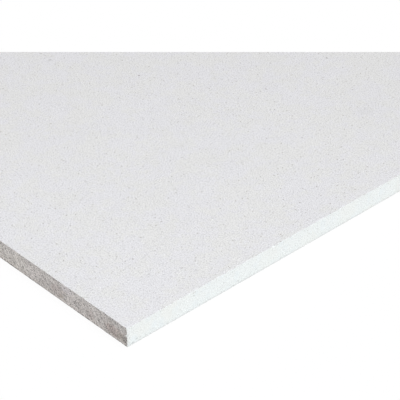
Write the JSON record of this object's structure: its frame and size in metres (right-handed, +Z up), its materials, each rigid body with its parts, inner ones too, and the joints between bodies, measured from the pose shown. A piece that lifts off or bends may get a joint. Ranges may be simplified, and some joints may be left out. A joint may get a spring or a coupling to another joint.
{
  "type": "drywall sheet",
  "caption": "Square-edged gypsum-fibre drywall sheet, unfaced, lying flat: a rigid panel for lining walls, ceilings and floors.",
  "frame": {"origin": "middle of the underside, on the surface that the sheet lies on", "axes": "+X along the sheet's length, +Y across its width, +Z up through its thickness; the pictured corner is the one at -X, -Y"},
  "size_m": [2.4, 1.2, 0.0125],
  "materials": {
    "gypsum_fibre": "sanded matt face, sawn fibrous edges"
  },
  "bodies": {
    "root": {"board": "gypsum_fibre"}
  },
  "joints": []
}
